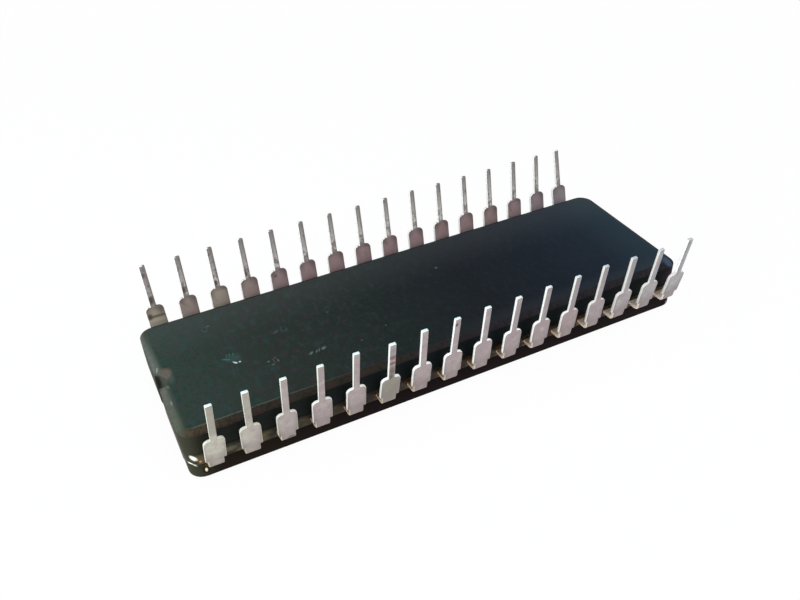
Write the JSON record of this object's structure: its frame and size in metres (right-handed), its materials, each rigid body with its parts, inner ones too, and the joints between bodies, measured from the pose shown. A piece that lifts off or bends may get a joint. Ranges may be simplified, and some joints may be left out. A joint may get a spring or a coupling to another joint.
{
  "type": "eprom chip",
  "caption": "Windowed ceramic dual in-line memory chip lying on its lid, with two rows of tinned leads standing up and splayed outward.",
  "frame": {"origin": "middle of the lid's outer face, which the chip lies on", "axes": "+X along the body away from the index notch, +Y across it, +Z from the lid up through the base towards the lead tips"},
  "size_m": [0.0419, 0.0176, 0.0086],
  "materials": {
    "dark_alumina": "pressed dark alumina ceramic, matt",
    "sealing_glass": "fired brown-olive sealing glass, glossy, opaque",
    "quartz": "polished clear quartz",
    "window_glass": "fired grey glass, smooth",
    "silicon": "polished silicon with thin-film colours, aluminium bond wires",
    "silver_glass": "fired silver-filled glass paste",
    "tinned_strip": "stamped nickel-iron strip, tin plated, dulled and stained"
  },
  "bodies": {
    "root": {"ceramic_base": "dark_alumina", "ceramic_cap": "dark_alumina", "seal_glass": "sealing_glass", "quartz_window": "quartz", "window_frit": "window_glass", "die_attach": "silver_glass", "die": "silicon", "lead_01": "tinned_strip", "lead_02": "tinned_strip", "lead_03": "tinned_strip", "lead_04": "tinned_strip", "lead_05": "tinned_strip", "lead_06": "tinned_strip", "lead_07": "tinned_strip", "lead_08": "tinned_strip", "lead_09": "tinned_strip", "lead_10": "tinned_strip", "lead_11": "tinned_strip", "lead_12": "tinned_strip", "lead_13": "tinned_strip", "lead_14": "tinned_strip", "lead_15": "tinned_strip", "lead_16": "tinned_strip", "lead_17": "tinned_strip", "lead_18": "tinned_strip", "lead_19": "tinned_strip", "lead_20": "tinned_strip", "lead_21": "tinned_strip", "lead_22": "tinned_strip", "lead_23": "tinned_strip", "lead_24": "tinned_strip", "lead_25": "tinned_strip", "lead_26": "tinned_strip", "lead_27": "tinned_strip", "lead_28": "tinned_strip", "lead_29": "tinned_strip", "lead_30": "tinned_strip", "lead_31": "tinned_strip", "lead_32": "tinned_strip"}
  },
  "joints": []
}
